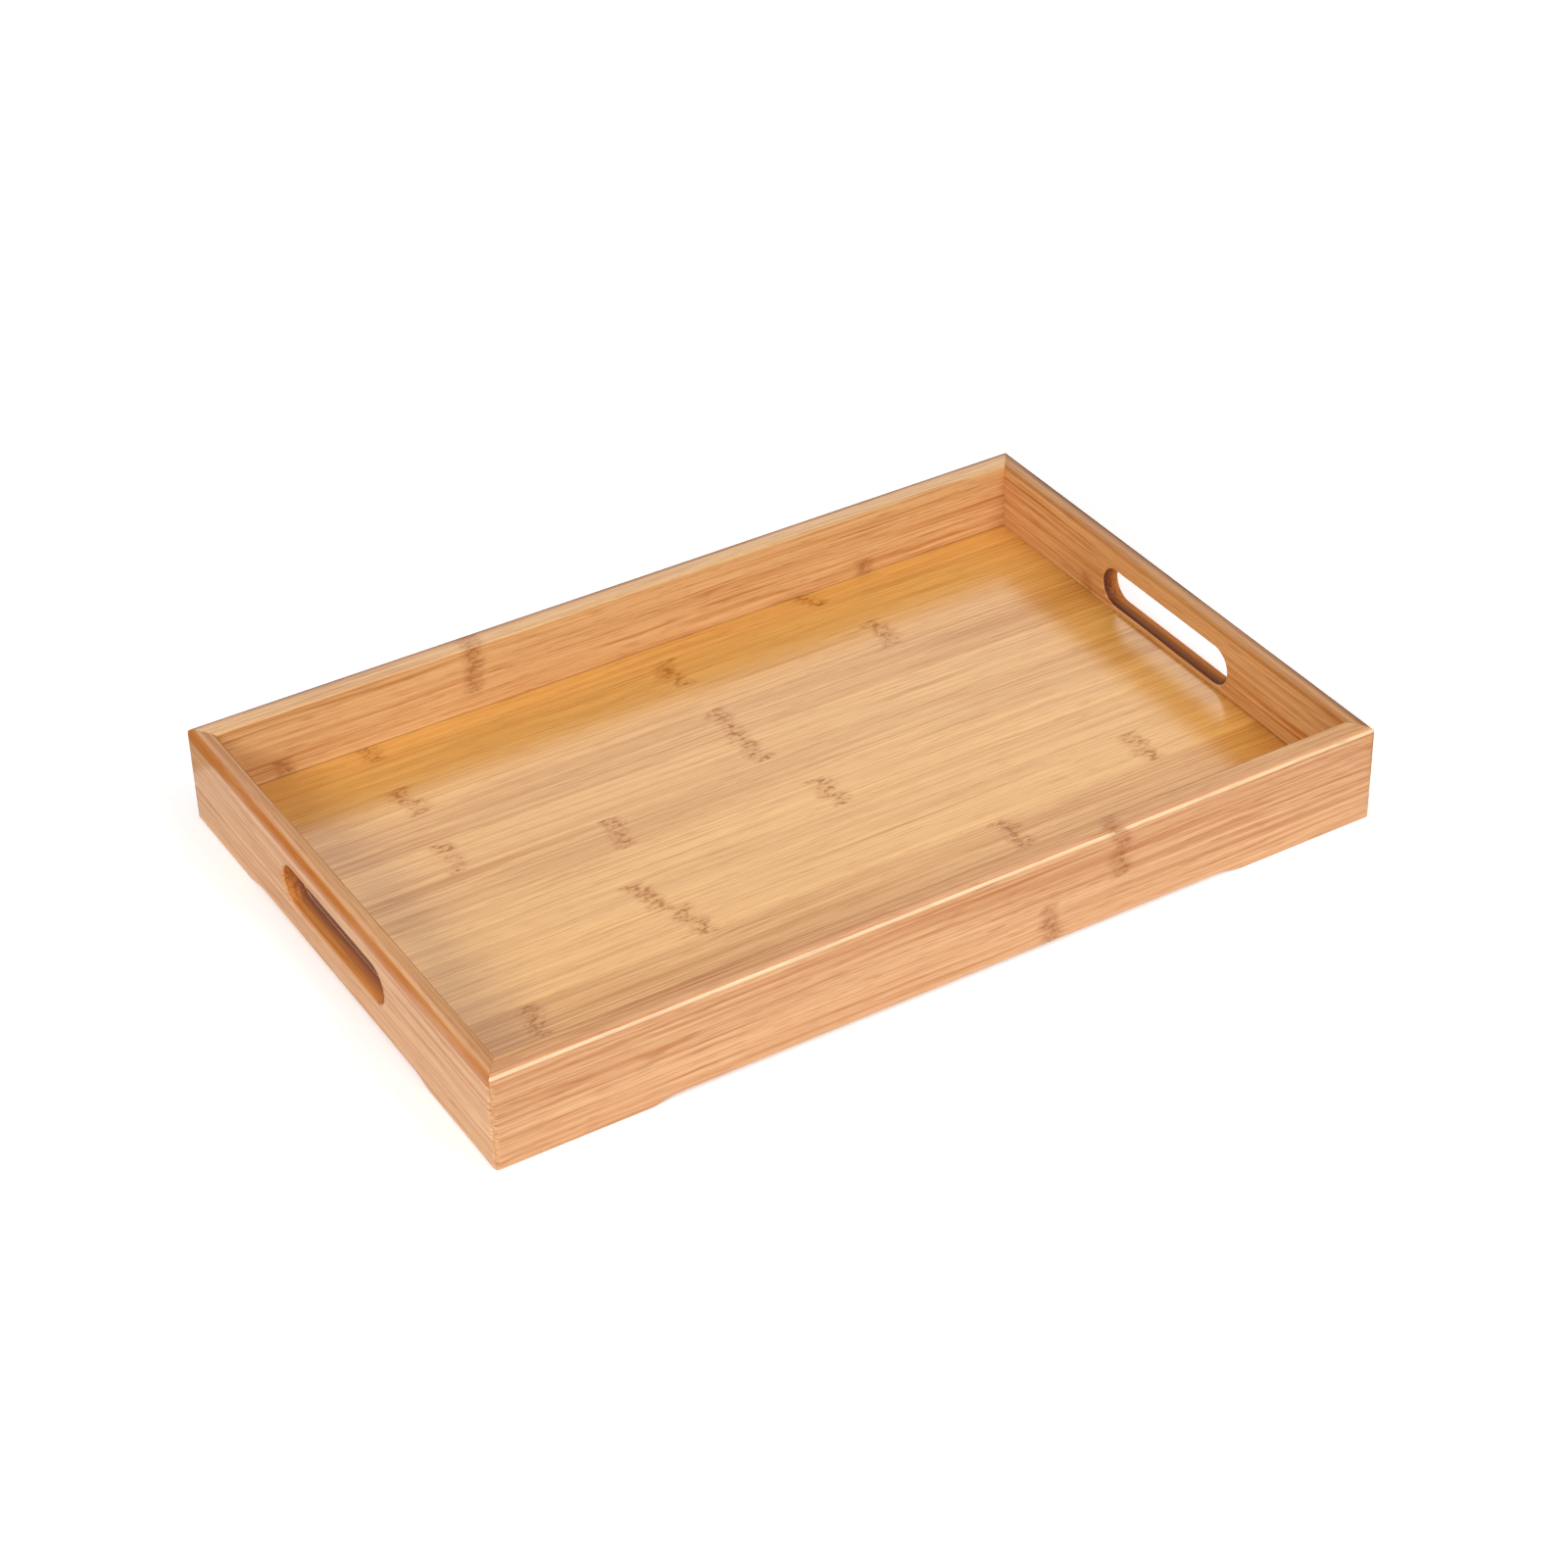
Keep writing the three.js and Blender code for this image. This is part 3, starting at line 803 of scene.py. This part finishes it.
strip = add_node(rail_tree, "GeometryNodeSetMaterial",
                 {"Geometry": strip, "Selection": is_cut, "Material": given["Slot finish"]})
add_node(rail_tree, "NodeGroupOutput", {"Geometry": strip})
print("rail tree has", len(rail_tree.nodes), "nodes")

# %% [markdown]
# Each side of the tray is the front rail turned by a quarter, a half and three quarters, and the end rails
# get the slot. Four rails could be modelled one by one, but then a change to one would have to be made to
# all. What differs stands in three tables: where a rail goes, how its top is worn, and the tone and
# knuckles of its two strips.

# %% Make the eight rail strips
MITRE_GAP = 0.04 * MM
CORNER_RADIUS = 3.0 * MM
RELIEF_DEPTH = 2.3 * MM
RELIEF_SLOPE = 10.0 * MM
LONG_FOOT = 75.0 * MM
END_FOOT = 62.0 * MM
rails = {
    # side: (quarter turns, where its outer face lies, foot, has a slot, seed of its cane)
    "front": (0, (0.0, tray_low.y, 0.0), LONG_FOOT, False, 7.0),
    "right": (1, (tray_high.x, 0.0, 0.0), END_FOOT, True, 9.3),
    "back": (2, (0.0, tray_high.y, 0.0), LONG_FOOT, False, 10.9),
    "left": (3, (tray_low.x, 0.0, 0.0), END_FOOT, True, 13.2),
}
rail_painted_light = {
    # side: (colour painted on its outer edge, a highlight on the front and a dark reflection elsewhere,
    # where
    #        that colour lies across and up in the section and how far it reaches, in millimetres, painted
    #        shade of its yellower top)
    "front": ("#f1cfa4", (0.9, 44.85, 0.85), 0.40),
    "right": ("#8a5630", (0.2, 43.9, 5.4), 0.66),
    "back": ("#aa7444", (0.3, 43.8, 5.2), 0.26),
    "left": ("#c67630", (0.3, 43.8, 3.0), 0.62),
}
rail_marks = {
    # strip: (tone, first knuckle, second knuckle), the knuckles in millimetres along the rail
    "front_rail_lower": (0.25, 45.0, NO_KNUCKLE),
    "front_rail_upper": (0.40, 80.0, NO_KNUCKLE),
    "right_rail_lower": (0.46, 60.0, NO_KNUCKLE),
    "right_rail_upper": (0.40, NO_KNUCKLE, NO_KNUCKLE),
    "back_rail_lower": (0.18, -125.0, 175.0),
    "back_rail_upper": (0.15, 80.0, NO_KNUCKLE),
    "left_rail_lower": (0.28, NO_KNUCKLE, NO_KNUCKLE),
    "left_rail_upper": (0.33, NO_KNUCKLE, NO_KNUCKLE),
}
for side, (quarters, outer_face, foot, slotted, seed) in rails.items():
    edge_reflection_colour, edge_reflection_place, top_shade = rail_painted_light[side]
    length, depth, thick, meets = TRAY_LENGTH, TRAY_WIDTH, LONG_RAIL_THICKNESS, END_RAIL_THICKNESS
    if quarters % 2:
        length, depth, thick, meets = depth, length, meets, thick
    for level, section in (("lower", lower_section), ("upper", upper_section)):
        node = f"{side}_rail_{level}"
        tone, knuckle_1, knuckle_2 = rail_marks[node]
        strip = grow(f"{side}_{level}_strip", rail_tree, {
            "Length": length, "Depth of tray": depth, "Height of tray": TRAY_HEIGHT,
            "Mitre slope": meets / thick, "Mitre gap": MITRE_GAP, "Corner radius": CORNER_RADIUS,
            "Foot": foot, "Relief depth": RELIEF_DEPTH, "Relief slope": RELIEF_SLOPE,
            "Bottom radius": BOTTOM_RADIUS, "Slot": cutter if slotted else None, "Side": outer_face,
            "Turn": (0.0, 0.0, quarters * math.pi / 2), "Tone": tone, "Seed": seed,
            "Knuckle 1": knuckle_1, "Knuckle 2": knuckle_2, "Finish": rail_bamboo,
            "Slot finish": slot_bamboo, "Edge colour": linear(edge_reflection_colour), "Edge place": edge_reflection_place,
            "Top stain": top_shade,
        }, drawing_of(node, section(thick)))
        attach(strip, "root")
        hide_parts(node)
        print(strip.name, len(strip.data.vertices), "points")
bpy.data.objects.remove(cutter)

# %% [markdown]
# ## The table
# The tray stands on a wide white table top, a round sheet a hair below its feet. A sheet curved up at the
# back, as in a studio, would hide the horizon too, but a round one looks the same from every side.

# %% White table
TABLE_RADIUS = 4.0
TABLE_DROP = 0.0002
disc = bmesh.new()
bmesh.ops.create_circle(disc, cap_ends=True, segments=96, radius=TABLE_RADIUS)
floor_mesh = bpy.data.meshes.new("table")
disc.to_mesh(floor_mesh)
disc.free()
floor = bpy.data.objects.new("table", floor_mesh)
floor.location.z = -TABLE_DROP
scene.collection.objects.link(floor)
print("table", 2 * TABLE_RADIUS, "m across")

# %% [markdown]
# The table's paint is matt white and keeps the tray's shadow. To the camera it also gives off some light,
# more and more of it away from the tray, so that it fades to the pure white of the room. More lamps could
# do that, but they would bleach the bamboo. Seen from below the table is clear, and right under the tray
# it gives off a weak light that only reaches the underside, so that one can look at it there.

# %% Table paint
FADE_DISTANCE = (0.5, 1.6)
FADE_LIGHT = (0.3, 1.0)
UNDER_INSET = 7 * MM
UNDER_LIGHT = 0.5
white = bpy.data.materials.new("matt white table top")
white.use_nodes = True
tree = white.node_tree
tree.nodes.clear()
ray = add_node(tree, "ShaderNodeLightPath").outputs
place = add_node(tree, "ShaderNodeTexCoord").outputs["Object"]
away = add_node(tree, "ShaderNodeVectorMath", {0: place}, operation="LENGTH")
fade = ramp(tree, away, *FADE_DISTANCE, *FADE_LIGHT, smooth=True)
seen_light = work_out(tree, "MULTIPLY", ray["Is Camera Ray"], fade)
spread = add_node(tree, "ShaderNodeVectorMath", {0: place}, operation="ABSOLUTE")
beside_x, beside_y, _ = add_node(tree, "ShaderNodeSeparateXYZ", {0: spread}).outputs
under = ray["Is Diffuse Ray"]
for beside, size in ((beside_x, TRAY_LENGTH), (beside_y, TRAY_WIDTH)):
    inside = work_out(tree, "LESS_THAN", beside, size / 2 - UNDER_INSET)
    under = work_out(tree, "MULTIPLY", under, inside)
table_light = work_out(tree, "MULTIPLY_ADD", under, UNDER_LIGHT, seen_light)
glow = add_node(tree, "ShaderNodeEmission", {"Strength": table_light})
paint = add_node(tree, "ShaderNodeBsdfDiffuse", {"Color": linear("#fefefe")})
paint = add_node(tree, "ShaderNodeAddShader", {0: paint, 1: glow})
below = add_node(tree, "ShaderNodeNewGeometry").outputs["Backfacing"]
clear = add_node(tree, "ShaderNodeBsdfTransparent")
paint = add_node(tree, "ShaderNodeMixShader", {0: below, 1: paint, 2: clear})
add_node(tree, "ShaderNodeOutputMaterial", {"Surface": paint})
floor_mesh.materials.append(white)
print("table paint has", len(tree.nodes), "nodes")

# %% [markdown]
# ## The light
# The room is white all round, and dimmer to the wood than it looks in a mirror, so that the lamps can draw
# the shadows. A picture of a real room could light the tray, but a plain one has nothing in it that would
# show up in the varnish by accident.

# %% White room
ROOM_LIGHT = 0.42
ROOM_SEEN = 1.0
world = bpy.data.worlds.new("white room")
scene.world = world
world.use_nodes = True
tree = world.node_tree
tree.nodes.clear()
ray = add_node(tree, "ShaderNodeLightPath").outputs
seen = work_out(tree, "MAXIMUM", ray["Is Camera Ray"], ray["Is Glossy Ray"])
seen = work_out(tree, "MAXIMUM", seen, ray["Is Transmission Ray"])
room = add_node(tree, "ShaderNodeMix", {"Factor": seen, "A": ROOM_LIGHT, "B": ROOM_SEEN}, data_type="FLOAT")
light = add_node(tree, "ShaderNodeBackground", {"Color": (1.0, 1.0, 1.0, 1.0), "Strength": room})
add_node(tree, "ShaderNodeOutputWorld", {"Surface": light})
print("the room gives", ROOM_LIGHT, "of white")

# %% [markdown]
# Three soft lamps light the wood, from above, from the front and from the left. Two more only shine in the
# varnish: a wide one behind the tray veils the base, and a warm one in front adds to the highlight painted
# along the rounded front edge. They could light the wood as well, but then it would wash out.

# %% Soft lamps
def direction(azimuth, elevation=0.0):
    """An arrow one metre long, in degrees from +x towards +y and up from the table."""
    turn, rise = math.radians(azimuth), math.radians(elevation)
    return Vector((math.cos(turn) * math.cos(rise), math.sin(turn) * math.cos(rise), math.sin(rise)))


def soft_light(name, azimuth, elevation, distance, width, height, brightness, colour="#ffffff"):
    """A rectangular light that shines at the tray from a direction."""
    lamp = bpy.data.lights.new(name, "AREA")
    lamp.shape = "RECTANGLE"
    lamp.size = width
    lamp.size_y = height
    lamp.energy = brightness * math.pi * width * height
    lamp.color = linear(colour)[:3]
    towards = direction(azimuth, elevation)
    holder = bpy.data.objects.new(name, lamp)
    holder.location = towards * distance
    holder.rotation_euler = towards.to_track_quat("Z", "Y").to_euler()
    scene.collection.objects.link(holder)
    return holder


lamps = {
    # lamp: (azimuth, elevation, distance, width and height in metres, brightness)
    "top light": (-75, 74, 1.8, 1.5, 1.5, 0.7),
    "front light": (-66, 48, 1.5, 0.5, 0.95, 4.0),
    "left light": (-150, 33, 2.4, 1.8, 0.6, 6.7),
}
shines = {
    # the same, and its colour
    "shine on the base": (64, 36, 1.6, 1.2, 0.66, 2.0, "#fffdf8"),
    "shine on the front edge": (-46, 49, 1.6, 0.8, 1.7, 1.4, "#fff4e0"),
}
for name, setup in lamps.items():
    soft_light(name, *setup)
for name, setup in shines.items():
    soft_light(name, *setup).visible_diffuse = False

# %% [markdown]
# Rounded edges look crisp when they mirror something dark. As in a studio, black cards stand around the back
# of the table, low on the right and taller on the left, and two lie flat behind and beside the tray. A
# darker room would dull the whole tray. Only the shine of the varnish sees the cards.

# %% Black cards
CARD_DISTANCE = 1.5
CARD_LIFT = 0.0005
standing_cards = ((-30, 5, 0.40), (5, 45, 0.40), (45, 85, 0.40), (95, 118, 1.5), (118, 142, 1.5))
lying_cards = ((-0.6, 1.4, 0.17, 1.4), (0.24, 1.4, -0.7, 0.17))
cards = bmesh.new()
for first, last, height in standing_cards:
    start, end = direction(first) * CARD_DISTANCE, direction(last) * CARD_DISTANCE
    rise = Vector((0.0, 0.0, height))
    cards.faces.new([cards.verts.new(v) for v in (start, end, end + rise, start + rise)])
for west, east, south, north in lying_cards:
    corners = ((west, south), (east, south), (east, north), (west, north))
    cards.faces.new([cards.verts.new((x, y, CARD_LIFT)) for x, y in corners])
card_mesh = bpy.data.meshes.new("black cards")
cards.to_mesh(card_mesh)
cards.free()
card = bpy.data.objects.new("black_cards", card_mesh)
scene.collection.objects.link(card)
card.visible_camera = False
card.visible_diffuse = False
card.visible_shadow = False
card.visible_transmission = False
# Black velvet: its pile swallows nearly all light.
black = bpy.data.materials.new("black velvet")
black.use_nodes = True
black.node_tree.nodes.clear()
pile = add_node(black.node_tree, "ShaderNodeBsdfDiffuse", {"Color": linear("#1c1917")})
add_node(black.node_tree, "ShaderNodeOutputMaterial", {"Surface": pile})
card_mesh.materials.append(black)
print("black cards:", len(card_mesh.polygons))

# %% [markdown]
# ## The camera
# The camera looks down on the tray from the front left. It could be placed by eye, but its angles, its
# distance and its lens were worked out from the outline of the tray, so that the edges run as they should.

# %% Camera
CAMERA_AZIMUTH = -120.48676
CAMERA_ELEVATION = 35.43523
CAMERA_ROLL = math.radians(-1.58452)
CAMERA_DISTANCE = 1639.15 * MM
CAMERA_TARGET = Vector((13.7067 * MM, 18.9960 * MM, 0.0))
SENSOR_WIDTH = 36.0
FOCAL_LENGTH = 85.657
outward = direction(CAMERA_AZIMUTH, CAMERA_ELEVATION)
camera_data = bpy.data.cameras.new("camera")
camera_data.sensor_width = SENSOR_WIDTH
camera_data.lens = FOCAL_LENGTH
camera_data.dof.use_dof = False
camera = bpy.data.objects.new("camera", camera_data)
camera.location = CAMERA_TARGET + outward * CAMERA_DISTANCE
camera.rotation_mode = "QUATERNION"
camera.rotation_quaternion = outward.to_track_quat("Z", "Y") @ Quaternion((0, 0, 1), CAMERA_ROLL)
scene.collection.objects.link(camera)
scene.camera = camera
scene.view_settings.view_transform = "Standard"
print("camera at", [round(v, 3) for v in camera.location], "m")

# %% [markdown]
# ## The finished tray
# It should fill the same box as the frame did.

# %% End
print("done")
